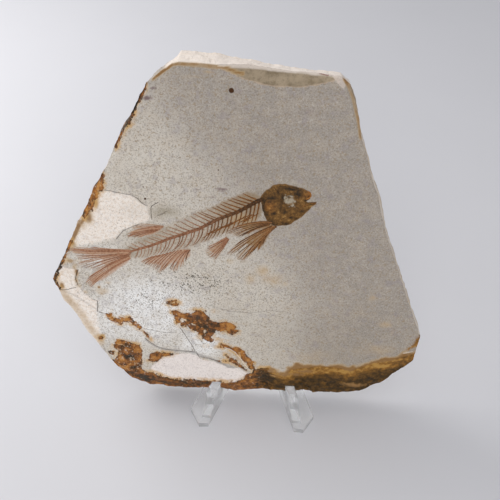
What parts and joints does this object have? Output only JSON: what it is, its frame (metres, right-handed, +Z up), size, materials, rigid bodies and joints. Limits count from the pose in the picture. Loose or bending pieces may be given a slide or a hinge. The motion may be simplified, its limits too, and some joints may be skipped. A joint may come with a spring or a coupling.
{
  "type": "fossil fish slab on a display stand",
  "caption": "Thin irregular slab of pale split limestone with a brown fossil fish skeleton on its face, leaning back on a clear plastic display stand.",
  "frame": {"origin": "on the surface that the stand rests on, under the middle of the whole object's box", "axes": "+Z up, -Y towards the viewer of the fish, +X to the viewer's right, the way the fish's head points"},
  "size_m": [0.1233, 0.0544, 0.1175],
  "materials": {
    "limestone": "matt, split, with rust-brown stains and chalky patches",
    "fossil_bone": "brown mineralised bone, slightly satin",
    "clear_plastic": "clear moulded acrylic, polished"
  },
  "bodies": {
    "root": {"stone_slab": "limestone", "fish_skeleton": "fossil_bone", "display_stand": "clear_plastic"}
  },
  "joints": []
}
